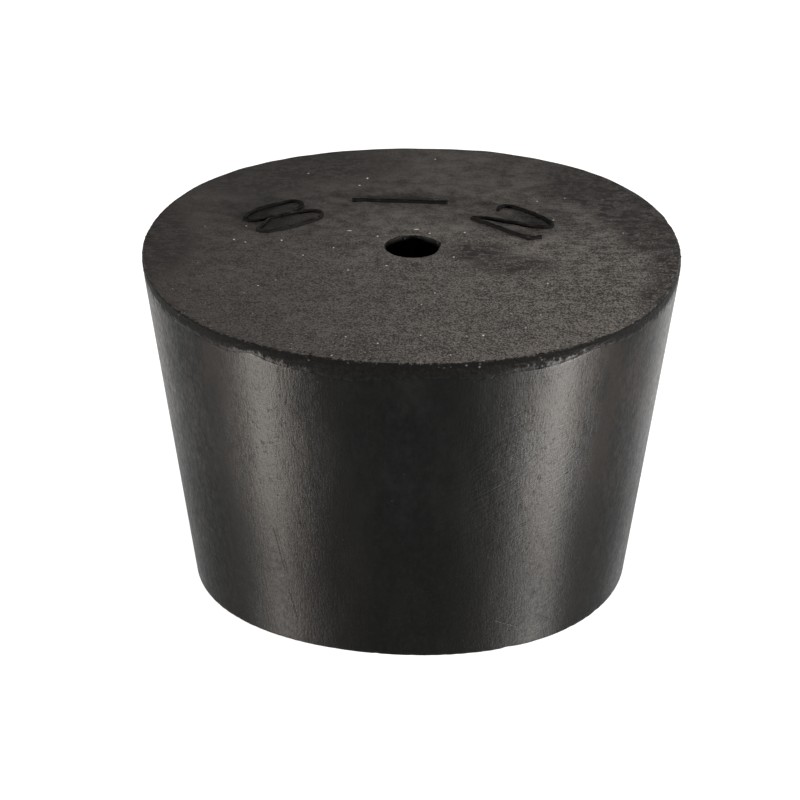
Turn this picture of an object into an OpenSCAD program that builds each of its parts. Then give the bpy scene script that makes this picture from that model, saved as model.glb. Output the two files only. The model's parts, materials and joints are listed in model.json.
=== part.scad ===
// Rubber stopper with one hole, moulded in one piece of solid rubber.
// The origin is the middle of the bottom face. +Z is up, and +Y points to the
// side of the top face that carries the size figures.

/* [Body] */
// Diameter of the wide top face, taken at its sharp corner
top_d = 41; // [36:0.5:46]
// Diameter of the narrow bottom face, taken at its sharp corner
bottom_d = 33; // [28:0.5:35]
// Height from the bottom face to the top face
body_h = 26; // [20:0.5:34]
// Radius of the worn edge round the top face
top_edge_r = 0.35; // [0.2:0.05:0.7]
// Radius of the edge round the bottom face
bottom_edge_r = 0.4; // [0.2:0.05:1]

/* [Trim band] */
// Height of the rough band under the top edge, where the flash was trimmed
band_h = 1.4; // [1:0.1:3]
// How far the trim band stands proud of the tapered side
band_proud = 0.08; // [0.04:0.02:0.2]

/* [Hole] */
// Diameter of the hole that runs right through the stopper
hole_d = 4.2; // [3:0.1:8]
// How far the hole lies from the middle of the stopper, towards the figures
hole_offset = 0.8; // [0:0.1:2]
// Diameter of the round nick in the hole's upper mouth
nick_d = 1.2; // [0.8:0.1:2]
// How far the nick reaches into the top face, past the wall of the hole
nick_reach = 0.15; // [0.1:0.05:0.4]
// Direction of the nick from the hole's axis, in degrees
nick_angle = 20; // [0:5:60]

/* [Size figures] */
// Width of each raised stroke
stroke_w = 0.35; // [0.25:0.05:0.6]
// How far the strokes stand up from the top face
stroke_h = 0.25; // [0.15:0.05:0.5]
// Width of a figure between the middles of its outer strokes
figure_w = 5.9; // [5:0.1:7]
// Height of a figure between the middles of its outer strokes
figure_h = 4.4; // [4:0.1:5]
// Distance from the top face's edge to the middle of the figure 8
eight_inset = 8.8; // [6:0.1:10]
// Direction of the figure 8 from the stopper's axis, in degrees
eight_angle = 148; // [140:1:160]
// Turn of the figure 8 away from facing straight outwards, in degrees
eight_turn = -22; // [-30:1:30]
// Distance from the top face's edge to the middle of the figure 2
two_inset = 11.2; // [8:0.1:12]
// Direction of the figure 2 from the stopper's axis, in degrees
two_angle = 35; // [20:1:40]
// Turn of the figure 2 away from facing straight outwards, in degrees
two_turn = 13; // [-30:1:30]
// Length of the straight bar between the two figures
bar_len = 7.2; // [5:0.1:9]
// Distance from the top face's edge to the middle of the bar
bar_inset = 11.2; // [8:0.1:12]
// Direction of the bar's middle from the stopper's axis, in degrees
bar_angle = 96; // [88:1:104]
// Turn of the bar away from facing straight outwards, in degrees
bar_turn = -9; // [-20:1:20]

/* [Hidden] */

$fn = 96;
rubber_colour = [0.17, 0.165, 0.16];

top_r = top_d / 2;
bottom_r = bottom_d / 2;

// The tapered side, which the trim band stands proud of, and its angle from upright
taper = atan((top_r - band_proud - bottom_r) / body_h);
band_bottom_z = body_h - band_h;

// Steps in each edge arc, and in each span of a curved stroke
arc_steps = 8;
curve_steps = 4;

// How far a cutting tool runs out of the surface that it cuts
run_out = body_h / 20;

// How far a raised stroke is rooted in the body
stroke_root = 2 * stroke_h;

// Middle lines of the strokes, for a figure 2 wide and 2 high about its own middle.
// The 8 is drawn as an upper and a lower half, which meet at mid-stroke.
eight_upper = [
    [0.31, 0.06], [0.62, 0.25], [0.84, 0.41], [0.9, 0.66], [0.78, 0.88], [0.5, 0.96], [0.03, 1],
    [-0.47, 0.91], [-0.79, 0.7], [-0.91, 0.5], [-0.8, 0.27], [-0.5, 0.17], [0, 0.09]
];
eight_lower = [
    [0, 0.09], [0.36, 0.02], [0.7, -0.13], [0.9, -0.28], [0.96, -0.52], [0.84, -0.76],
    [0.5, -0.89], [-0.14, -0.94], [-0.69, -0.86], [-0.94, -0.74], [-1.02, -0.54],
    [-0.9, -0.34], [-0.66, -0.17], [-0.38, 0.05]
];
two_hook = [
    [-0.79, 0.43], [-0.89, 0.66], [-0.85, 0.88], [-0.67, 1.02], [-0.3, 1.05], [0.25, 1.01],
    [0.72, 0.87], [0.9, 0.68], [0.82, 0.43], [0.5, 0.15], [0.06, -0.02], [-0.51, -0.27],
    [-0.78, -0.44], [-0.95, -0.66]
];
two_foot = [[-0.97, -0.7], [1.01, -0.7], [1.16, -0.27]];

// Radius of the tapered side at height z
function side_r(z) = bottom_r + z * tan(taper);

// Points along an arc of radius r about [x, z], from angle a to angle b
function arc(x, z, r, a, b) = [
    for (i = [0:arc_steps])
        let (t = a + (b - a) * i / arc_steps)
        [x + r * cos(t), z + r * sin(t)]
];

// Unit direction from point a to point b
function heading(a, b) = (b - a) / norm(b - a);

// A point at the share t of the Hermite curve from b to c. Its ends run parallel to the
// lines from a to c and from b to d, and it leaves them as fast as b and c are apart.
function curve_point(a, b, c, d, t) =
    let (span = norm(c - b))
    b * (1 + (2 * t - 3) * t * t)
        + c * (3 - 2 * t) * t * t
        + heading(a, c) * span * t * (1 - t) * (1 - t)
        - heading(b, d) * span * t * t * (1 - t);

// A smooth line through all the points p
function smooth(p) =
    let (last = len(p) - 1)
    concat(
        [
            for (i = [0:last - 1])
                for (k = [0:curve_steps - 1])
                    curve_point(
                        p[max(i - 1, 0)], p[i], p[i + 1], p[min(i + 2, last)], k / curve_steps)
        ],
        [p[last]]
    );

// The same points at the size of a real figure
function sized(p) = [for (q = p) [q[0] * figure_w / 2, q[1] * figure_h / 2]];

// Line p moved sideways by d, with its corners mitred
function beside(p, d) =
    let (last = len(p) - 1)
    [
        for (i = [0:last])
            let (
                before = heading(p[max(i - 1, 0)], p[max(i, 1)]),
                after = heading(p[min(i, last - 1)], p[min(i + 1, last)]),
                mid = heading([0, 0], before + after),
                mitre = d / (mid * before)
            )
            p[i] + mitre * [-mid[1], mid[0]]
    ];

// A stroke along line p, with square ends
module stroke(p) {
    left = beside(p, stroke_w / 2);
    right = beside(p, -stroke_w / 2);
    polygon([for (i = [0:2 * len(p) - 1]) i < len(p) ? left[i] : right[2 * len(p) - 1 - i]]);
}

module eight() {
    stroke(smooth(sized(eight_upper)));
    stroke(smooth(sized(eight_lower)));
}

module two() {
    stroke(smooth(sized(two_hook)));
    stroke(sized(two_foot));
}

module bar() {
    square([bar_len, stroke_w], center = true);
}

// Stands a figure on the top face, with its head outwards
module raised(inset, angle, turn) {
    rotate(angle)
        translate([top_r - inset, 0, body_h - stroke_root])
            rotate(turn - 90)
                linear_extrude(stroke_root + stroke_h)
                    children();
}

// Outline of half the body: bottom edge, tapered side, trim band, top edge
module body_outline() {
    bottom_in = bottom_edge_r * (1 - sin(taper)) / cos(taper);
    top_in = top_edge_r * (1 + sin(taper)) / cos(taper);
    polygon(concat(
        [[0, 0]],
        arc(bottom_r - bottom_in, bottom_edge_r, bottom_edge_r, -90, -taper),
        [
            [side_r(band_bottom_z), band_bottom_z],
            [side_r(band_bottom_z + band_proud) + band_proud, band_bottom_z + band_proud]
        ],
        arc(top_r - top_in, body_h - top_edge_r, top_edge_r, -taper, 90),
        [[0, body_h]]
    ));
}

module hole() {
    translate([0, hole_offset, -run_out])
        cylinder(d = hole_d, h = body_h + 2 * run_out);
}

// A bite out of the upper mouth of the hole
module nick() {
    translate([0, hole_offset, body_h])
        rotate(nick_angle)
            translate([hole_d / 2 + nick_reach - nick_d / 2, 0, 0])
                sphere(d = nick_d);
}

module stopper() {
    color(rubber_colour)
        difference() {
            union() {
                rotate_extrude()
                    body_outline();
                raised(eight_inset, eight_angle, eight_turn)
                    eight();
                raised(two_inset, two_angle, two_turn)
                    two();
                raised(bar_inset, bar_angle, bar_turn)
                    bar();
            }
            hole();
            nick();
        }
}

stopper();
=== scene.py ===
import json
import math

import bmesh
import bpy
import numpy as np
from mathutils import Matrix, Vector


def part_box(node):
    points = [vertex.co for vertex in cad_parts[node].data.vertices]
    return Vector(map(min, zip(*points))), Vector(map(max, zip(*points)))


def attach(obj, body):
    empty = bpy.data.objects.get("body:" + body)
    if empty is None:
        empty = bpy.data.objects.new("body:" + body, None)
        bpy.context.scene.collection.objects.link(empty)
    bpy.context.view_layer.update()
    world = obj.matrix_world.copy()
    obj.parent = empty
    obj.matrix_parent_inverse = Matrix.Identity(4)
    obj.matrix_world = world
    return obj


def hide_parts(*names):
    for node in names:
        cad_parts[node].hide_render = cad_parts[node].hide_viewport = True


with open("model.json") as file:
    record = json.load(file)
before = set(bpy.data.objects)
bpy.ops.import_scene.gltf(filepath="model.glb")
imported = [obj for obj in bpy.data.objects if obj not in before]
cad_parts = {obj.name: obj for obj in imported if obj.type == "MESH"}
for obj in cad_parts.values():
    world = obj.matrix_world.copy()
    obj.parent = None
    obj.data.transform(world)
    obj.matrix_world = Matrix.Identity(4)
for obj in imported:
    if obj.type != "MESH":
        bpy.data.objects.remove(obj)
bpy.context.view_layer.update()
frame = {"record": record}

# A one-hole rubber stopper: one moulded body, with five raised strokes on its top face
# that make the size figures 8, - and 2.

# ---------------------------------------------------------------------------
# Sizes, in millimetres. Heights run up from the bottom face, and an azimuth
# runs anticlockwise from +X, seen from above, so the front is at -90 degrees.
# ---------------------------------------------------------------------------
MM = 0.001
BOX_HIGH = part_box("stopper")[1]
BORE = next(m for m in frame["record"]["mounts"] if m["name"] == "bore")

STROKE_WIDTH = 0.35
STROKE_RISE = 0.25
STROKE_STEP = 0.1
HEIGHT = BOX_HIGH.z / MM - STROKE_RISE
# The top edge is not quite round, and its mean radius is a little over half the box
TOP_OVER_BOX = 0.18
TOP_RADIUS = BOX_HIGH.x / MM + TOP_OVER_BOX
BOTTOM_RADIUS = 16.46
BORE_RADIUS = BORE["dims"]["r_mm"]
BORE_CENTRE = np.array(BORE["pos_m"][:2]) / MM
# Radius on which scratches and patches of the side are laid out
SIDE_RADIUS = (TOP_RADIUS + BOTTOM_RADIUS) / 2

RIM_ROUND = 0.14
BOTTOM_ROUND = 0.4
MOUTH_ROUND = 0.04
BAND_PROUD = 0.08
BAND_HEIGHT = 1.25
CREASE_HEIGHT = 0.24
# Heights at which the tapered side ends and the bottom edge starts
SIDE_END = 0.8
EDGE_START = 0.55

# The body's columns lie closer together between these azimuths, which take in the front
FRONT_FROM, FRONT_TO = -155, -25
FRONT_COLUMNS, BACK_COLUMNS = 560, 300

# The moulding is not quite round. For each whole multiple of the azimuth: how far its
# cosine and its sine push the edge outwards.
TOP_OUT_OF_ROUND = {2: (0.09, 0.0), 3: (-0.07, 0.08), 4: (-0.22, 0.0)}
BOTTOM_OUT_OF_ROUND = {2: (0.0, -0.08), 3: (0.02, -0.06), 4: (-0.11, 0.12)}

# Places round the part: degrees round from the front to the right, size in millimetres,
# and half width in degrees. First how far the top edge stands out there, then how much
# taller the trim band is, how deep the bottom edge is chipped, and how far the hole's
# mouth is torn outwards.
TOP_SWELLS = [(112, -0.12, 18), (162, 0.14, 8), (248, -0.11, 16)]
BAND_DROPS = [
    (-42, 0.2, 4), (-35, -0.3, 4), (-15, 0.42, 12), (0, 0.05, 7), (14, 0.4, 5), (28, 0.1, 5),
    (40, -0.35, 7),
]
EDGE_CHIPS = [
    (26.5, 0.07, 2.2), (-9, 0.03, 0.9), (58, 0.04, 1.2), (141, 0.08, 1.6), (-118, 0.07, 1.3),
]
MOUTH_TEARS = [(108, 0.13, 9), (76, -0.1, 16)]

# Scratches on the side: degrees round from the front to the right, height, length, rise
# to the right in degrees, and half width
SCRATCHES = [
    (13, 4.8, 3.7, 5, 0.07), (13.5, 4.5, 2.6, 7, 0.06), (21, 4.5, 1.7, 8, 0.07),
    (32, 4.6, 1.3, 6, 0.07), (38, 4.6, 1.8, 8, 0.07), (35.5, 2.3, 2.1, -27, 0.08),
    (15, 7.1, 2.6, -3, 0.05), (-33.5, 8.1, 4.6, -80, 0.035), (-32.7, 8.2, 4.7, -81, 0.02),
    (-31, 3.4, 3.1, -77, 0.06), (18, 14.5, 3, 25, 0.08), (22.7, 15.2, 1.7, 27, 0.07),
    (22.6, 20.9, 1.6, 27, 0.08), (9, 6.2, 4.2, 12, 0.05), (25, 2.4, 2.4, -24, 0.06),
]

# Bright specks and fibres on the top face: x, y, and half width and half depth
SPECKS = [
    (0.3, 4.05, 0.27, 0.1), (-4.8, 3.7, 0.24, 0.08), (1.3, 3.3, 0.1, 0.12), (3.95, 3.5, 0.09, 0.14),
    (-2.65, 2.7, 0.1, 0.1), (-3.5, 13.9, 0.09, 0.17), (-4.1, 12.5, 0.12, 0.1),
    (-9.9, 1.8, 0.09, 0.15), (-13.5, 1.9, 0.09, 0.13), (-1.95, -2.85, 0.14, 0.09),
    (3.1, -1.15, 0.1, 0.1), (10.7, 6.0, 0.09, 0.11), (5.2, -15.4, 0.1, 0.17),
]

# Dark smudges on the top face: x, y, half width, half depth, and strength
SMUDGES = [
    (13, 11.6, 4.5, 3, 1), (15.5, 10, 4, 3.5, 1), (14, 14.5, 5, 3, 1), (17, 7, 4.2, 3.2, 1),
    (19.5, 3.8, 5, 6, 1), (21, -2, 4.2, 9, 0.8), (19.5, -9, 3.8, 6, 0.7), (-9, 16.5, 11, 5, 0.6),
    (-19.5, 2, 4, 10, 0.7), (-12, 13, 6, 4, 0.6), (4.8, -0.1, 3.6, 2.4, 0.7),
    (7.6, -2.6, 4.6, 2.6, 0.6),
]

# Each face takes the finish of its first row, by these numbers.
SIDE, TOP = 0, 1

# Middle lines of the raised strokes, for a figure 2 wide and 2 high about its own
# middle, as the part's source draws them.
FIGURE_SIZE = np.array([5.9, 4.4])
EIGHT_UPPER = [
    (0.31, 0.06), (0.62, 0.25), (0.84, 0.41), (0.9, 0.66), (0.78, 0.88), (0.5, 0.96), (0.03, 1),
    (-0.47, 0.91), (-0.79, 0.7), (-0.91, 0.5), (-0.8, 0.27), (-0.5, 0.17), (0, 0.09),
]
EIGHT_LOWER = [
    (0, 0.09), (0.36, 0.02), (0.7, -0.13), (0.9, -0.28), (0.96, -0.52), (0.84, -0.76),
    (0.5, -0.89), (-0.14, -0.94), (-0.69, -0.86), (-0.94, -0.74), (-1.02, -0.54),
    (-0.9, -0.34), (-0.66, -0.17), (-0.38, 0.05),
]
TWO_HOOK = [
    (-0.79, 0.43), (-0.89, 0.66), (-0.85, 0.88), (-0.67, 1.02), (-0.3, 1.05), (0.25, 1.01),
    (0.72, 0.87), (0.9, 0.68), (0.82, 0.43), (0.5, 0.15), (0.06, -0.02), (-0.51, -0.27),
    (-0.78, -0.44), (-0.95, -0.66),
]
TWO_FOOT = [(-0.97, -0.7), (1.01, -0.7), (1.16, -0.27)]
BAR = [(-1.24, 0), (1.24, 0)]
# Each figure's radius and azimuth, and how far it is turned anticlockwise from standing
# with its head outwards, in degrees
EIGHT_PLACE = (11.7, 148, -22)
TWO_PLACE = (9.3, 35, 13)
BAR_PLACE = (9.3, 96, -9)
# Each stroke's height and width over the usual ones, and how raw and black its top still is
STROKE_STATES = {
    "eight_upper": (0.85, 0.74, 0.7), "eight_lower": (0.85, 0.74, 0.67),
    "two_hook": (0.9, 0.84, 0.74), "two_foot": (0.95, 0.84, 0.74), "bar": (0.95, 0.8, 0.76),
}

# ---------------------------------------------------------------------------
# Shape
# ---------------------------------------------------------------------------


def out_of_round(azimuth, harmonics):
    """Sum of cosines and sines of whole multiples of the azimuth."""
    return sum(c * np.cos(n * azimuth) + s * np.sin(n * azimuth) for n, (c, s) in harmonics.items())


def ripple(azimuth, low, high, seed, z=0.0, lift=0.0):
    """Waves about 1 high: cosines of every whole multiple of the azimuth from low to high,
    each with its own random phase. With a lift, each phase also moves on from row to row:
    by z times its own random rate of up to the lift, in radians."""
    random = np.random.default_rng(seed)
    waves = np.arange(low, high + 1)
    phases = random.uniform(0, math.tau, len(waves))
    rates = random.uniform(-lift, lift, len(waves))
    turns = np.multiply.outer(azimuth, waves) + phases + np.multiply.outer(z, rates)
    return np.cos(turns).sum(-1) / math.sqrt(len(waves) / 2)


def away_from(azimuth, degrees):
    """How far an azimuth lies from a place, in degrees from -180 to 180. The place is in
    degrees round from the front to the right."""
    return np.degrees(np.angle(np.exp(1j * (azimuth - math.radians(degrees - 90)))))


def bells(azimuth, places):
    """Sum of bell curves of the azimuth, one for each place, as high as its size."""
    total = 0.0
    for degrees, size, width in places:
        total = total + size * np.exp(-((away_from(azimuth, degrees) / width) ** 2))
    return total


def smoothstep(value, start, end):
    """0 before start, 1 after end, and an S curve between them."""
    share = np.clip((value - start) / (end - start), 0, 1)
    return share * share * (3 - 2 * share)


def curve_through(points, steps=12):
    """A smooth line through the points: on each span a Hermite curve whose ends run
    parallel to the line between the neighbours, as fast as the span is long."""
    p = np.array(points, float) * FIGURE_SIZE / 2
    ahead = np.vstack([p[1:], p[-1:]])
    behind = np.vstack([p[:1], p[:-1]])
    tangent = ahead - behind
    tangent /= np.linalg.norm(tangent, axis=1, keepdims=True)
    span = np.linalg.norm(p[1:] - p[:-1], axis=1)[:, None, None]
    t = np.linspace(0, 1, steps, endpoint=False)[None, :, None]
    line = (
        p[:-1, None] * (1 + (2 * t - 3) * t * t)
        + p[1:, None] * (3 - 2 * t) * t * t
        + tangent[:-1, None] * span * t * (1 - t) ** 2
        - tangent[1:, None] * span * t * t * (1 - t)
    )
    return np.vstack([line.reshape(-1, 2), p[-1:]])


def on_top_face(line, radius, azimuth, turn):
    """A figure's line on the top face: turned to stand head outwards and by its own turn,
    and moved out to its radius at its azimuth."""
    a, b = math.radians(azimuth), math.radians(azimuth + turn - 90)
    x, y = line[:, 0], line[:, 1]
    turned = np.stack([x * math.cos(b) - y * math.sin(b), x * math.sin(b) + y * math.cos(b)], 1)
    return turned + radius * np.array([math.cos(a), math.sin(a)])


def stroke_lines():
    """The middle lines of all the raised strokes on the top face, by name."""
    return {
        "eight_upper": on_top_face(curve_through(EIGHT_UPPER), *EIGHT_PLACE),
        "eight_lower": on_top_face(curve_through(EIGHT_LOWER), *EIGHT_PLACE),
        "two_hook": on_top_face(curve_through(TWO_HOOK), *TWO_PLACE),
        "two_foot": on_top_face(np.array(TWO_FOOT) * FIGURE_SIZE / 2, *TWO_PLACE),
        "bar": on_top_face(np.array(BAR) * FIGURE_SIZE / 2, *BAR_PLACE),
    }


def wander(along, spacing, seed):
    """Smooth random values about 0 and about 1 high along a line: random values at even
    spacing, with straight lines between them."""
    knots = np.arange(0, along[-1] + 2 * spacing, spacing)
    return np.interp(along, knots, np.random.default_rng(seed).normal(size=len(knots)))


def raised_stroke(line, state, seed):
    """A raised stroke as a grid. Rows go along the line at even steps, and columns go
    round a flat-topped bar's outline, which leans in a little towards its top. The outline
    is narrowed to its own middle at both ends, which closes them. Height and width waver
    from place to place, as worn rubber does. Also gives how raw each point is: 1 on the
    walls, and less on a worn top."""
    tallness, breadth, raw_top = state
    steps = np.linalg.norm(np.diff(line, axis=0), axis=1)
    along = np.concatenate([[0], np.cumsum(steps)])
    even = np.linspace(0, along[-1], int(along[-1] / STROKE_STEP))
    middle = np.stack([np.interp(even, along, line[:, i]) for i in (0, 1)], 1)
    heading = np.gradient(middle, axis=0)
    heading /= np.linalg.norm(heading, axis=1, keepdims=True)
    across = np.stack([-heading[:, 1], heading[:, 0]], 1)

    half = breadth * STROKE_WIDTH / 2
    out = half * np.array([-1.15, -1.1, -1.0, -0.92, -0.7, 0, 0.7, 0.92, 1.0, 1.1, 1.15])
    up = STROKE_RISE * np.array([-0.6, 0.0, 0.5, 0.84, 0.98, 1.0, 0.98, 0.84, 0.5, 0.0, -0.6])
    worn = np.array([0, 0, 0, 0.15, 0.9, 1, 0.9, 0.15, 0, 0, 0]) * (1 - raw_top)

    # The rows at both ends: closed, a little narrowed, and then the full outline
    ends = [0, 0, 1]
    far_ends = len(even) - 1 - np.array(ends)[::-1]
    place = np.concatenate([ends, np.arange(2, len(even) - 2), far_ends])
    width = np.ones(len(place))
    width[[0, -1]] = 0
    width[[1, -2]] = 0.8
    middle, across, even = middle[place], across[place], even[place]
    width *= 1 + 0.09 * wander(even, 0.5, seed)
    rise = tallness * (1 - 0.06 * np.abs(wander(even, 0.7, seed + 1)))
    height = up[None, :] * rise[:, None]
    side = out[None, :] * width[:, None] + 0.02 * wander(even, 0.35, seed + 2)[:, None]
    flat = middle[:, None, :] + across[:, None, :] * side[..., None]
    points = np.concatenate([flat, (HEIGHT + height)[..., None]], -1)
    return points, np.broadcast_to(1 - worn, side.shape)


def band_height(azimuth):
    """Height of the trim band: a mean height, bell curves where its lower line hangs down
    or is pulled up, and a fine waviness."""
    fine = 0.035 * ripple(azimuth, 4, 24, 4) + 0.012 * ripple(azimuth, 31, 170, 5)
    return BAND_HEIGHT + fine + bells(azimuth, BAND_DROPS)


def side_radius(azimuth, z):
    """Radius of the tapered side: a straight taper from bottom to top, with the moulding's
    out-of-round."""
    low = BOTTOM_RADIUS + out_of_round(azimuth, BOTTOM_OUT_OF_ROUND)
    high = TOP_RADIUS - BAND_PROUD + out_of_round(azimuth, TOP_OUT_OF_ROUND)
    high = high + bells(azimuth, TOP_SWELLS)
    return low + (high - low) * z / HEIGHT


def ring(radius, azimuth, centre=(0, 0)):
    """x and y of a ring of points about the centre."""
    return centre[0] + radius * np.cos(azimuth), centre[1] + radius * np.sin(azimuth)


def between(start, end, share):
    """x and y of the points at a share of the straight way from start to end."""
    return [a + (b - a) * share for a, b in zip(start, end)]


def stopper_surface():
    """The whole body as one closed grid. Columns go round the axis, closer together at the
    front. Rows follow the outline: up the bore, out over the top face, round the rim, down
    the trim band and the tapered side, round the bottom edge, and in over the bottom face
    to the bore. Also gives each row's finish, how much of the cut skin and how much of the
    worn rim each point shows."""
    degrees = np.concatenate([
        np.linspace(FRONT_FROM, FRONT_TO, FRONT_COLUMNS, endpoint=False),
        np.linspace(FRONT_TO, FRONT_FROM + 360, BACK_COLUMNS, endpoint=False),
    ])
    azimuth = np.radians(degrees)[None, :]
    taper = math.atan((TOP_RADIUS - BOTTOM_RADIUS) / HEIGHT)
    band_proud = BAND_PROUD * (1 - 1.9 * smoothstep(np.abs(away_from(azimuth, 0)), 45, 80))
    rows = []

    def add(x, y, z, zone=SIDE, cut=0.0, rim=1.0):
        values = (x, y, z, zone, cut, rim)
        shape = np.broadcast_shapes(azimuth.shape, *(np.shape(v) for v in values))
        rows.append(np.stack([np.broadcast_to(v, shape) for v in values], -1))

    # Bore wall, from the lower mouth to the upper one
    z = np.array([MOUTH_ROUND, 6, 13, 20, 24, HEIGHT - 0.9])[:, None]
    add(*ring(BORE_RADIUS, azimuth, BORE_CENTRE), z, SIDE, 1.0)

    # Upper mouth: a quarter round, torn outwards at the right and squeezed in beside it
    ragged = bells(azimuth, MOUTH_TEARS) + 0.008 * ripple(azimuth, 5, 24, 6)
    add(*ring(BORE_RADIUS + ragged, azimuth, BORE_CENTRE), HEIGHT - 0.35, SIDE, 1.0)
    a = np.radians([0, 30, 60, 90])[:, None]
    mouth = BORE_RADIUS + ragged + MOUTH_ROUND * (1 - np.cos(a))
    add(
        *ring(mouth, azimuth, BORE_CENTRE), HEIGHT - MOUTH_ROUND * (1 - np.sin(a)),
        np.array([SIDE, SIDE, SIDE, TOP])[:, None], 1.0, 0.0,
    )

    # Top face: straight spokes from the mouth to the inner edge of the rim
    corner = side_radius(azimuth, HEIGHT) + band_proud
    worn = RIM_ROUND * (1 + 0.15 * ripple(azimuth, 5, 60, 7))
    rim_in = worn * (1 + math.sin(taper)) / math.cos(taper)
    spoke_start = ring(mouth[-1], azimuth, BORE_CENTRE)
    spoke_end = ring(corner - rim_in, azimuth)
    spoke = np.concatenate([
        np.linspace(0.012, 0.05, 3), np.linspace(0.1, 0.9, 9), np.linspace(0.93, 0.955, 2),
    ])[:, None]
    add(*between(spoke_start, spoke_end, spoke), HEIGHT, TOP, 1.0, 0.0)

    # Edge of the top face, which crumbles towards the rim
    spoke = np.array([0.965, 0.975, 0.985, 0.993])[:, None]
    crumbled = np.array([0.05, 0.12, 0.22, 0.32])[:, None]
    sunk = 0.04 * crumbled * (1 + ripple(azimuth, 60, 300, 12, spoke, 160))
    add(*between(spoke_start, spoke_end, spoke), HEIGHT - sunk, TOP, 1.0, crumbled)

    # Worn rim: an arc from the top face round to the band, with a ragged edge
    a = np.linspace(0, math.pi / 2 + taper, 6)[:, None]
    ragged = 0.012 * ripple(azimuth, 60, 300, 8) * np.sin(a) ** 2
    add(
        *ring(corner - rim_in + worn * np.sin(a) + ragged, azimuth),
        HEIGHT - worn + worn * np.cos(a) - 0.012 * np.cos(a) ** 2,
        TOP, 1.0, np.linspace(0.4, 1.1, 6)[:, None],
    )

    # Trim band. Under the rim the cut has bitten in and left fine ledges. Lower down the
    # skin swells out to a lip, and rolls in to a crease on the band's wavy lower line.
    line = HEIGHT - band_height(azimuth)
    start = HEIGHT - worn * (1 + math.sin(taper))
    share = np.array([
        0.06, 0.13, 0.2, 0.28, 0.36, 0.44, 0.52, 0.6, 0.68, 0.76, 0.84, 0.9, 0.95, 1.0,
    ])
    knots = [0, 0.2, 0.45, 0.68, 0.84, 0.93, 1.0]
    proud = np.interp(share, knots, [1.0, 0.45, 0.35, 0.6, 0.7, 0.5, 0.1])[:, None]
    ledges = np.interp(share, knots, [0.3, 1.0, 1.0, 0.9, 0.7, 0.5, 0.3])[:, None]
    cut = np.interp(share, knots, [1.0, 1.0, 0.92, 0.68, 0.46, 0.42, 0.6])[:, None]
    share = share[:, None]
    z = start + (line - start) * share
    crumbs = 0.009 * ripple(azimuth, 90, 300, 9, z, 30) * (1 - 0.8 * share)
    steps = 0.015 * np.abs(ripple(azimuth, 3, 46, 10, z, 15)) - 0.01
    lift = band_proud * proud + ledges * (crumbs + steps)
    add(*ring(side_radius(azimuth, z) + lift, azimuth), z, SIDE, cut)
    z = line - np.array([0.05, 0.12, CREASE_HEIGHT])[:, None]
    creased = np.array([-0.024, -0.008, 0.0])[:, None]
    cut = np.array([0.5, 0.2, 0.0])[:, None]
    add(*ring(side_radius(azimuth, z) + creased, azimuth), z, SIDE, cut)

    # Tapered side
    share = np.linspace(0.02, 0.985, 16)[:, None] ** 1.1
    z = (line - CREASE_HEIGHT) * (1 - share) + SIDE_END * share
    add(*ring(side_radius(azimuth, z), azimuth), z)

    # Bottom edge, chipped in places, and made bare all round, most beside the front: painted shade,
    # black and dull, where the edge rolls under onto the floor
    chips = bells(azimuth, EDGE_CHIPS) + 0.006 * ripple(azimuth, 20, 140, 11)
    edge = side_radius(azimuth, 0)
    edge_in = BOTTOM_ROUND * (1 - math.sin(taper)) / math.cos(taper)
    a = np.linspace(-taper, -math.pi / 2, 8)[:, None]
    z = BOTTOM_ROUND * (1 + np.sin(a))
    chipped = chips * np.exp(-((z / 0.3) ** 2))
    # The bare share here paints shade along the foot: black and dull all round, more beside the
    # front
    scuffed = 0.55 + bells(azimuth, [(13, 0.9, 8)])
    add(*ring(side_radius(azimuth, EDGE_START) - 0.1 * chips, azimuth), EDGE_START)
    add(
        *ring(edge - edge_in + BOTTOM_ROUND * np.cos(a) - chipped, azimuth),
        z + 0.6 * np.maximum(chips, 0) * np.exp(-((z / 0.2) ** 2)),
        SIDE, np.maximum(smoothstep(chips, 0.03, 0.12), scuffed * np.exp(-((z / 0.16) ** 2))),
    )

    # Bottom face, and the lower mouth's quarter round
    spoke_start = ring(BORE_RADIUS + MOUTH_ROUND, azimuth, BORE_CENTRE)
    spoke_end = ring(edge - edge_in - np.maximum(chips, 0), azimuth)
    spoke = np.array([0.96, 0.7, 0.4, 0.15, 0.03, 0])[:, None]
    add(*between(spoke_start, spoke_end, spoke), 0, SIDE, 0.3)
    a = np.radians([60, 30])[:, None]
    mouth = BORE_RADIUS + MOUTH_ROUND * (1 - np.cos(a))
    add(*ring(mouth, azimuth, BORE_CENTRE), MOUTH_ROUND * (1 - np.sin(a)), SIDE, 1.0)

    grid = np.concatenate(rows, 0)
    return grid[..., :3], grid[..., 3], {"cut": grid[..., 4], "rim": grid[..., 5]}


def closed_mesh(name, points, values, round_both_ways=True):
    """A mesh from a grid that closes on itself from side to side and, where it goes round
    both ways, from end to end. It carries named values at its points for the finish to
    read. Points that lie on each other, as at a narrowed end, are made one."""
    n_rows, n_columns = points.shape[:2]
    index = np.arange(n_rows * n_columns).reshape(n_rows, n_columns)
    up = np.roll(index, -1, 0)
    quads = np.stack([index, up, np.roll(up, -1, 1), np.roll(index, -1, 1)], -1)
    if not round_both_ways:
        quads = quads[:-1]
    mesh = bpy.data.meshes.new(name)
    mesh.from_pydata(points.reshape(-1, 3) * MM, [], quads.reshape(-1, 4))
    mesh.update()
    for key, value in values.items():
        layer = mesh.attributes.new(key, "FLOAT", "POINT").data
        layer.foreach_set("value", np.ascontiguousarray(value, np.float32).ravel())
    if not round_both_ways:
        welded = bmesh.new()
        welded.from_mesh(mesh)
        bmesh.ops.remove_doubles(welded, verts=welded.verts, dist=1e-7)
        welded.to_mesh(mesh)
        welded.free()
    mesh.shade_smooth()
    return link(bpy.data.objects.new(name, mesh))


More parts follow.
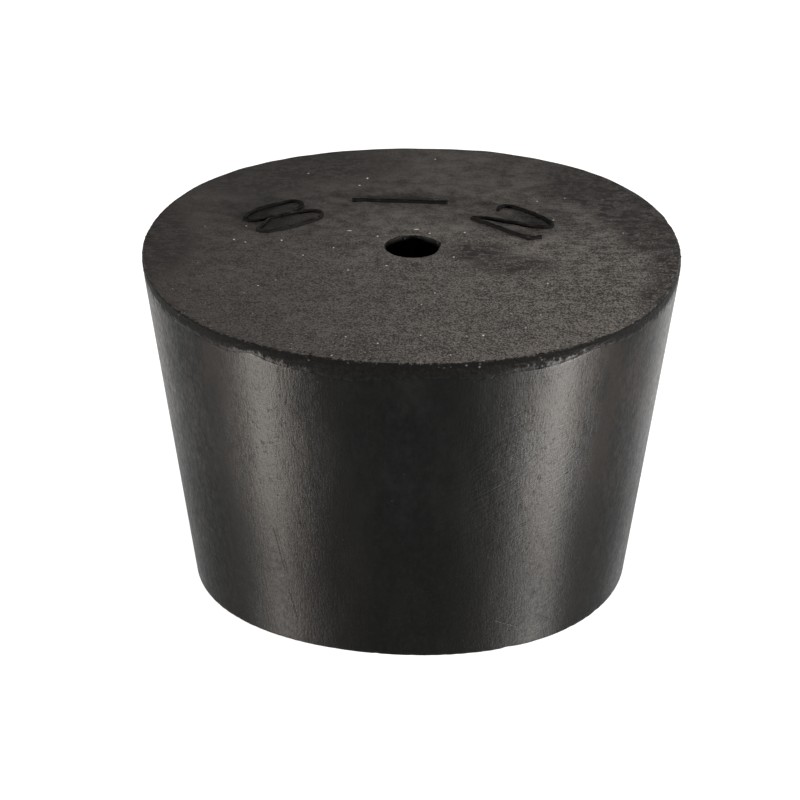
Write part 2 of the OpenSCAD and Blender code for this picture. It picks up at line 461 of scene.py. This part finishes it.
# ---------------------------------------------------------------------------
# Finishes
# ---------------------------------------------------------------------------


class Wire:
    """A number carried by a socket. Sums and products of wires add their Math nodes."""

    def __init__(self, finish, socket):
        self.finish = finish
        self.socket = socket

    def math(self, operation, first, second):
        """One Math node. Either value may be a plain number."""
        node = self.finish.node("ShaderNodeMath", {"operation": operation}, {0: first, 1: second})
        return Wire(self.finish, node.outputs[0])

    def __add__(self, other):
        return self.math("ADD", self, other)

    def __radd__(self, other):
        return self.math("ADD", other, self)

    def __sub__(self, other):
        return self.math("SUBTRACT", self, other)

    def __rsub__(self, other):
        return self.math("SUBTRACT", other, self)

    def __mul__(self, other):
        return self.math("MULTIPLY", self, other)

    def __rmul__(self, other):
        return self.math("MULTIPLY", other, self)

    def __truediv__(self, other):
        return self.math("DIVIDE", self, other)

    def higher(self, other):
        """The higher of two values."""
        return self.math("MAXIMUM", self, other)

    def size(self):
        """The value without its sign."""
        return self.math("ABSOLUTE", self, 0)

    def step(self, start, end):
        """0 before start and 1 after end, with an S curve between. Start may be the higher."""
        node = self.finish.node(
            "ShaderNodeMapRange",
            {"interpolation_type": "SMOOTHSTEP"},
            {"Value": self, "From Min": start, "From Max": end, "To Min": 0.0, "To Max": 1.0},
        )
        return Wire(self.finish, node.outputs["Result"])


class Finish:
    """A material, and the nodes that paint it. Its patterns are in millimetres."""

    def __init__(self, name):
        self.material = bpy.data.materials.new(name)
        self.material.use_nodes = True
        self.material.node_tree.nodes.clear()
        coordinates = self.node("ShaderNodeTexCoord")
        self.place = coordinates.outputs["Object"]
        parts = self.node("ShaderNodeSeparateXYZ", {}, {0: self.place})
        self.x, self.y, self.z = (Wire(self, parts.outputs[axis]) * (1 / MM) for axis in "XYZ")
        self.round_front = self.x.math("ARCTAN2", self.x, 0 - self.y)

    def node(self, kind, settings=None, sockets=None):
        """Adds a node, with its settings first and then the values or links of its sockets."""
        made = self.material.node_tree.nodes.new(kind)
        for key, value in (settings or {}).items():
            setattr(made, key, value)
        for key, value in (sockets or {}).items():
            source = value.socket if isinstance(value, Wire) else value
            if isinstance(source, bpy.types.NodeSocket):
                self.material.node_tree.links.new(source, made.inputs[key])
            else:
                made.inputs[key].default_value = source
        return made

    def turned(self, turn, stretch, shift):
        """The place, turned about the axes, shifted and then divided by the stretch."""
        node = self.node(
            "ShaderNodeMapping",
            {"vector_type": "TEXTURE"},
            {"Vector": self.place, "Rotation": [math.radians(v) for v in turn], "Scale": stretch,
             "Location": [v * MM for v in shift]},
        )
        return node.outputs["Vector"]

    def noise(self, grain, detail, rough, turn=(0, 0, 0), stretch=(1, 1, 1), shift=(0, 0, 0)):
        """Soft random values about 0.5, with lumps of the given grain in millimetres."""
        node = self.node(
            "ShaderNodeTexNoise",
            {},
            {"Vector": self.turned(turn, stretch, shift), "Scale": 1 / (grain * MM),
             "Detail": detail, "Roughness": rough},
        )
        return Wire(self, node.outputs["Fac"])

    def dots(self, spacing, radius, share, shift=(0, 0, 0), stretch=(1, 1, 1)):
        """1 inside scattered round dots: near the middles of some random cells."""
        node = self.node(
            "ShaderNodeTexVoronoi",
            {},
            {"Vector": self.turned((0, 0, 0), stretch, shift), "Scale": 1 / (spacing * MM)},
        )
        near = Wire(self, node.outputs["Distance"]).step(radius / spacing, radius / spacing * 0.5)
        pick = self.node("ShaderNodeSeparateColor", {}, {0: node.outputs["Color"]})
        return near * Wire(self, pick.outputs["Red"]).step(1 - share, 1 - share * 0.8)

    def spot(self, x, y, width, height):
        """A soft round patch on the top face: 1 in the middle and 0 outside the ellipse."""
        across, along = (self.x - x) / width, (self.y - y) / height
        return (across * across + along * along).step(1.0, 0.0)

    def patch(self, degrees, z, width, height):
        """A soft round patch on the side, at so many degrees round from the front to the
        right and at height z: 1 in the middle and 0 outside the ellipse."""
        across = (self.round_front - math.radians(degrees)) * (SIDE_RADIUS / width)
        along = (self.z - z) / height
        return (across * across + along * along).step(1.0, 0.0)

    def scratch(self, degrees, z, length, tilt, width):
        """One straight scratch on the side, about its middle: 1 on its line and 0 off it.
        It rises to the right by the tilt, in degrees."""
        across = (self.round_front - math.radians(degrees)) * SIDE_RADIUS
        up = self.z - z
        a = math.radians(tilt)
        along = (across * math.cos(a) + up * math.sin(a)).size()
        aside = (up * math.cos(a) - across * math.sin(a)).size()
        return aside.step(width, width * 0.2) * along.step(length / 2, length / 3)

    def attribute(self, name):
        """A value that the mesh carries at its points."""
        node = self.node("ShaderNodeAttribute", {"attribute_name": name})
        return Wire(self, node.outputs["Fac"])

    def mix(self, share, first, second):
        """Colour: the first where the share is 0, the second where it is 1. The node's
        sockets 6 and 7 and its output 2 are the ones for colours."""
        node = self.node("ShaderNodeMix", {"data_type": "RGBA"}, {0: share, 6: first, 7: second})
        return node.outputs[2]

    def bump(self, height, depth, below=None):
        """A normal from a height between 0 and 1 that stands for a depth in millimetres."""
        sockets = {"Height": height, "Distance": depth * MM, "Strength": 1.0}
        if below is not None:
            sockets["Normal"] = below
        return self.node("ShaderNodeBump", {}, sockets).outputs["Normal"]

    def rubber(self, **sockets):
        """A rubber shader. A socket's name has _ for its spaces."""
        sockets = {key.replace("_", " "): value for key, value in sockets.items()}
        return self.node("ShaderNodeBsdfPrincipled", {}, sockets).outputs["BSDF"]

    def finished(self, first, second, share):
        """The material: two shaders, mixed by the share of the second."""
        mixed = self.node("ShaderNodeMixShader", {}, {0: share, 1: first, 2: second})
        self.node("ShaderNodeOutputMaterial", {}, {"Surface": mixed.outputs[0]})
        return self.material


def grey(level):
    """A neutral colour."""
    return (level, level, level, 1)


# Colours of the skin and of cut rubber, then those of the ground top face
BARE_BLACK = grey(0.0001)
TORN_GREY = grey(0.0007)
# Pale crumbs, which also paint glints on torn rubber
CRUMB_GLINT_GREY = (0.036, 0.036, 0.038, 1)
BLOOM_GREY = (0.0013, 0.0014, 0.0014, 1)
# Brown that paints the warm tint of the softbox highlights on the side
WARM_SHEEN_BROWN = (0.0017, 0.0012, 0.0009, 1)
FLECK_GREY = grey(0.02)
GROUND_DARK = (0.0095, 0.0085, 0.0077, 1)
GROUND_PALE = (0.115, 0.106, 0.0995, 1)
# Painted shade on the top face, mixed in towards the left and the back
GROUND_PAINTED_SHADE = (0.0115, 0.0102, 0.0095, 1)
STAIN_BROWN = (0.007, 0.0055, 0.0052, 1)
PIT_BLACK = grey(0.006)
DUST_PALE = (0.45, 0.43, 0.4, 1)


def cut_skin(f, grain, crumbs, dullness, gloss):
    """Rubber laid bare where it was cut or torn: black, dull and a little uneven, with
    crumbs as pale as asked, which also paint glints on the torn rubber. The grain is a
    pattern of the finish that it lies in."""
    torn = f.noise(0.3, 3, 0.65, stretch=(1, 1, 1.3), shift=(4, 4, 4))
    crumb_glint = f.dots(0.5, 0.11, 0.45, shift=(2, 2, 1)) * torn.step(0.38, 0.58)
    colour = f.mix(torn.step(0.4, 0.75), BARE_BLACK, TORN_GREY)
    colour = f.mix(crumb_glint * crumbs, colour, CRUMB_GLINT_GREY)
    normal = f.bump(torn * 0.5 + grain * 0.5 + crumb_glint * 0.5, 0.06)
    return f.rubber(
        Base_Color=colour, Roughness=dullness + 0.2 * torn, Normal=normal, Specular_IOR_Level=gloss,
    )


def moulded_side():
    """The smooth moulded skin: near black, hazy in patches, with a fine leathery grain,
    faint creases and a few scratches. Warm brown patches, kept off the front middle and
    stronger higher up, are painted warm sheen for the softbox highlights. Fine turning lines
    from the mould spread its shine up and down. It is scuffed dull towards the bottom. Where
    it was cut, and in the bore, it is bare, and round the bottom edge the bare black is
    painted shade."""
    f = Finish("moulded_side")
    haze = f.noise(3.2, 4, 0.6, stretch=(1, 1, 2.4), shift=(3, 1, 0))
    warm = f.noise(3.0, 3, 0.6, stretch=(1, 1, 2.0), shift=(9, 4, 2))
    streak = f.noise(0.14, 2, 0.65, stretch=(1, 1, 20))
    turning = f.noise(0.12, 2, 0.6, stretch=(14, 14, 1), shift=(2, 0, 5))
    leather = f.noise(0.15, 3, 0.7, stretch=(1, 1, 1.7))
    bloom_grain = f.noise(0.2, 2, 0.7, stretch=(1, 1, 2), shift=(5, 0, 5))
    lumps = f.noise(0.45, 3, 0.6, stretch=(1, 1, 1.6), shift=(6, 6, 0))
    crepe = f.noise(0.22, 3, 0.6, turn=(0, 5, 0), stretch=(4, 4, 1), shift=(0, 3, 3))
    slant = f.noise(0.24, 3, 0.65, turn=(0, -24, 0), stretch=(4, 4, 1), shift=(1, 2, 3))
    crepe_place = f.patch(-36, 14, 7, 13)
    slant_place = f.patch(24, 14, 9, 9).higher(f.patch(31, 3, 8, 4) * 0.8)
    fleck = f.dots(1.9, 0.06, 0.16, shift=(1, 3, 0)) + f.dots(0.9, 0.05, 0.05, shift=(4, 1, 2))
    pin = f.dots(1.3, 0.07, 0.22, shift=(5, 1, 4))
    scored = f.scratch(*SCRATCHES[0])
    for placed in SCRATCHES[1:]:
        scored = scored.higher(f.scratch(*placed))
    hatch = streak * 0.6 + turning * 0.4

    bloom = haze.step(0.42, 0.75) * (0.3 + 0.7 * leather)
    colour = f.mix(bloom, BARE_BLACK, BLOOM_GREY)
    # Painted warm sheen: brown patches, kept off the front middle and stronger higher up, where the
    # softbox highlights are warm
    lit = f.round_front.size().step(0.3, 0.55)
    warm_sheen_patches = warm.step(0.4, 0.62) * f.z.step(-6, 26) * lit
    colour = f.mix(warm_sheen_patches, colour, WARM_SHEEN_BROWN)
    colour = f.mix(fleck * 0.7, colour, FLECK_GREY)
    rough = (
        0.4 + 0.46 * (bloom_grain - 0.5) + 0.2 * (hatch - 0.5) + 0.5 * (lumps - 0.5) + 0.1 * haze
        + 0.3 * (crepe - 0.5) * crepe_place + 0.4 * (slant - 0.5) * slant_place
        + 0.09 * scored + 0.1 * pin + 0.06 * f.z.step(20, 0)
    )
    normal = f.bump(f.noise(4.5, 2, 0.5, stretch=(1, 1, 2)), 0.1)
    relief = (
        leather * 0.5 + lumps * 0.25 + hatch * 0.7
        + (crepe - 0.5) * crepe_place * 0.8 + (slant - 0.5) * slant_place * 1.6
        - scored * 0.45 - pin * 0.4
    )
    normal = f.bump(relief, 0.025, normal)
    skin = f.rubber(
        Base_Color=colour, Roughness=rough, Normal=normal,
        Specular_IOR_Level=0.14, Anisotropic=0.9, Anisotropic_Rotation=0.25,
    )
    bare = (f.attribute("cut") + (lumps - 0.5) * 1.3 + (leather - 0.5) * 0.9).step(0.35, 0.75)
    scuffed = f.z.step(18, 6) * (0.2 + 0.32 * haze + 0.9 * (leather - 0.5) + 0.4 * (lumps - 0.35))
    # Pale crumbs high on the trim band also paint its glints
    bared = cut_skin(f, leather, 0.5 * f.z.step(23, 24), 0.47, 0.04)
    return f.finished(skin, bared, bare.higher(scuffed))


def ground_top():
    """The ground top face: dull dark grey, gritty, pitted and smudged, with dust on it.
    It is painted darker towards the left and the back: painted shade. The walls of the raised
    strokes and the crumbled rim are raw and black. Pale crumbs cling to the rim, more of them
    at the sides than in front, and there they also paint the glints of the torn rim."""
    f = Finish("ground_top")
    grit = f.noise(0.14, 2, 0.7)
    coarse = f.noise(0.4, 3, 0.65, stretch=(1.2, 1, 1))
    drag = f.noise(0.16, 2, 0.7, turn=(0, 0, 3), stretch=(9, 1, 1), shift=(2, 5, 0))
    cloud = f.noise(4.5, 5, 0.62, shift=(4, 2, 0))
    blot = f.noise(1.1, 4, 0.65, stretch=(1.2, 1, 1), shift=(1, 6, 2))
    front = f.y.step(9, -12)
    right = f.x.step(6, 16)

    smudge = 0
    for *place, strength in SMUDGES:
        smudge = (f.spot(*place) * strength).higher(smudge)
    broken = (blot - 0.5) * 3.2 + (coarse - 0.5) * 2.4 + (drag - 0.5) * 1.6
    stain = (0.62 + broken * 1.3).step(0.05, 0.95) * smudge.step(0.0, 0.65)
    # Painted shade: light is 1 at the right front and falls off to the left and the back, and the
    # face is painted darker where it is low
    light = f.x.step(-26, 18) * (1 - 0.75 * f.y.step(0, 19))
    speckle = (
        ((grit - 0.5) * 8.4 + (coarse - 0.5) * 2.4) * (0.22 + 0.78 * front)
        + (drag - 0.5) * (0.4 + 2.2 * right) + (cloud - 0.5) + (blot - 0.5) * 2.0
    )
    colour = f.mix((0.5 + speckle).step(-0.15, 1.2), GROUND_DARK, GROUND_PALE)
    colour = f.mix((1 - light) * 0.8, colour, GROUND_PAINTED_SHADE)
    colour = f.mix(stain, colour, STAIN_BROWN)
    pits = f.dots(0.6, 0.12, 0.5, stretch=(1.4, 1, 1)) * (0.15 + 0.85 * front)
    colour = f.mix(pits * 0.75, colour, PIT_BLACK)
    fine_dust = f.dots(0.6, 0.08, 0.3, shift=(2, 1, 0), stretch=(0.6, 1, 1))
    dust = f.dots(1.1, 0.09, 0.26, shift=(3, 3, 0)).higher(f.dots(3.1, 0.13, 0.3, shift=(1, 7, 0)))
    dust = dust.higher(fine_dust * (0.08 + 0.32 * front))
    for speck in SPECKS:
        dust = dust.higher(f.spot(*speck))
    colour = f.mix(dust, colour, DUST_PALE)
    normal = f.bump(grit * 0.7 + coarse * 0.4 + drag * 0.3 - pits * 0.6 + dust * 0.7, 0.045)
    face = f.rubber(
        Base_Color=colour, Roughness=0.8 + 0.2 * grit, Normal=normal, Specular_IOR_Level=0.2,
    )
    rim = f.attribute("rim")
    # Pale crumbs on the rim, mostly at the sides: they also paint the glints of the torn rim
    at_sides = f.round_front.size().step(0.2, 0.7)
    crumb_glint = f.dots(0.42, 0.11, 0.4, shift=(5, 2, 4)) * rim.step(0.02, 0.2) * (0.2 + 0.8 * at_sides)
    crumbled = (rim + (grit - 0.5) * 1.8 + (coarse - 0.5) * 0.7).step(0.4, 0.8)
    crumbled = crumbled * (1 - 0.5 * crumb_glint)
    raw = (f.attribute("raw") + (coarse - 0.5) * 0.7).step(0.3, 0.8)
    return f.finished(face, cut_skin(f, grit, 0.12, 0.62, 0.03), crumbled.higher(raw))


# ---------------------------------------------------------------------------
# Camera, floor and light
# ---------------------------------------------------------------------------
SENSOR_WIDTH = 36
LENS = 295.4
CAMERA_DISTANCE = 0.5
CAMERA_ELEVATION = math.radians(24.92)
CAMERA_ROLL = math.radians(0.4)
# How far the camera stands left of the stopper's middle and above it, across its view.
# These and the distance are in metres.
CAMERA_LEFT, CAMERA_UP = 0.000868, 0.000533

# Softboxes round the stopper: degrees round from the front to the right, degrees up,
# width and height in metres, brightness of the panel, and how warm its light is.
LAMP_DISTANCE = 0.6
SOFTBOXES = {
    "left_softbox": (-60, 4, 0.115, 0.085, 690, 0.075),
    "right_softbox": (60, 4, 0.15, 0.085, 720, 0.05),
    "right_front_softbox": (42, 4, 0.12, 0.085, 95, 0.02),
    "left_side_softbox": (-80, 4, 0.12, 0.085, 34, 0.03),
    "right_side_softbox": (80, 4, 0.12, 0.085, 18, 0.03),
    "left_back_softbox": (-135, 4, 0.16, 0.085, 27, 0.0),
    "right_back_softbox": (135, 4, 0.16, 0.085, 49, 0.0),
    "back_softbox": (180, 30, 0.5, 0.25, 1.6, 0.03),
    "overhead_softbox": (0, 90, 0.5, 0.5, 0.5, 0.03),
}
WORLD_LEVEL = 0.16

FLOOR_HALF = 1.4
FLOOR_LEVEL = -0.02 * MM


def link(thing):
    """Puts an object into the scene."""
    bpy.context.scene.collection.objects.link(thing)
    return thing


def make_camera():
    """The camera looks down at the stopper's middle along its own back line, a little to one
    side of it, and is turned a little about that line."""
    data = bpy.data.cameras.new("camera")
    data.sensor_width = SENSOR_WIDTH
    data.lens = LENS
    camera = link(bpy.data.objects.new("camera", data))
    sin_e, cos_e = math.sin(CAMERA_ELEVATION), math.cos(CAMERA_ELEVATION)
    back, up = Vector((0, -cos_e, sin_e)), Vector((0, sin_e, cos_e))
    middle = Vector((0, 0, HEIGHT * MM / 2))
    left = Vector((-1, 0, 0))
    camera.location = middle + back * CAMERA_DISTANCE + up * CAMERA_UP + left * CAMERA_LEFT
    camera.rotation_euler = (math.pi / 2 - CAMERA_ELEVATION, 0, 0)
    camera.rotation_euler.rotate_axis("Z", CAMERA_ROLL)
    bpy.context.scene.camera = camera


def make_softbox(name, azimuth, elevation, width, height, brightness, warmth):
    """A rectangular lamp that faces the stopper. Its power is pi times area and brightness."""
    a, e = math.radians(azimuth), math.radians(elevation)
    way = Vector((math.sin(a) * math.cos(e), -math.cos(a) * math.cos(e), math.sin(e)))
    data = bpy.data.lights.new(name, "AREA")
    data.shape = "RECTANGLE"
    data.size, data.size_y = width, height
    data.energy = math.pi * width * height * brightness
    data.color = (1, 1 - warmth, 1 - 2 * warmth)
    lamp = link(bpy.data.objects.new(name, data))
    lamp.location = way * LAMP_DISTANCE + Vector((0, 0, HEIGHT * MM / 2))
    lamp.rotation_euler = (-way).to_track_quat("-Z", "Y").to_euler()
    lamp.visible_camera = False


def make_floor():
    """A pale floor, a hair under the stopper. To the camera and in reflections it is white,
    with part of the shadow. From below it is clear, so that the underside can be seen."""
    mesh = bpy.data.meshes.new("floor")
    corners = FLOOR_HALF * np.array([(-1, -1, 0), (1, -1, 0), (1, 1, 0), (-1, 1, 0)])
    corners[:, 2] = FLOOR_LEVEL
    mesh.from_pydata(corners, [], [(0, 1, 2, 3)])
    floor = link(bpy.data.objects.new("floor", mesh))
    f = Finish("pale_floor")
    plain = f.node("ShaderNodeBsdfDiffuse", {}, {"Color": grey(0.8)})
    dim = f.node("ShaderNodeBsdfDiffuse", {}, {"Color": grey(0.25)})
    white = f.node("ShaderNodeEmission", {}, {"Color": grey(1.0), "Strength": 0.85})
    seen = f.node("ShaderNodeAddShader", {}, {0: dim.outputs[0], 1: white.outputs[0]})
    rays = f.node("ShaderNodeLightPath")
    by_eye = Wire(f, rays.outputs["Is Camera Ray"]).higher(rays.outputs["Is Glossy Ray"])
    by_eye = by_eye.higher(rays.outputs["Is Transmission Ray"])
    mixed = f.node("ShaderNodeMixShader", {}, {0: by_eye, 1: plain.outputs[0], 2: seen.outputs[0]})
    clear = f.node("ShaderNodeBsdfTransparent")
    from_below = f.node("ShaderNodeNewGeometry").outputs["Backfacing"]
    mesh.materials.append(f.finished(mixed.outputs[0], clear.outputs[0], from_below))


def make_world():
    """An even grey light from all round."""
    world = bpy.data.worlds.new("world")
    world.use_nodes = True
    world.node_tree.nodes["Background"].inputs["Color"].default_value = grey(WORLD_LEVEL)
    bpy.context.scene.world = world
    bpy.context.scene.view_settings.view_transform = "Standard"


make_camera()
side_finish = moulded_side()
top_finish = ground_top()

points, zone, skin_values = stopper_surface()
body = closed_mesh("stopper_body", points, skin_values)
body.data.materials.append(side_finish)
body.data.materials.append(top_finish)
body.data.polygons.foreach_set("material_index", zone.ravel().astype(np.int32))
pieces = [body]
for seed, (name, line) in enumerate(stroke_lines().items(), 20):
    points, raw = raised_stroke(line, STROKE_STATES[name], seed)
    stroke = closed_mesh("figure_" + name, points, {"raw": raw}, round_both_ways=False)
    stroke.data.materials.append(top_finish)
    pieces.append(stroke)
for piece in pieces:
    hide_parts("stopper")
    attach(piece, "root")

make_floor()
make_world()
for name, settings in SOFTBOXES.items():
    make_softbox(name, *settings)
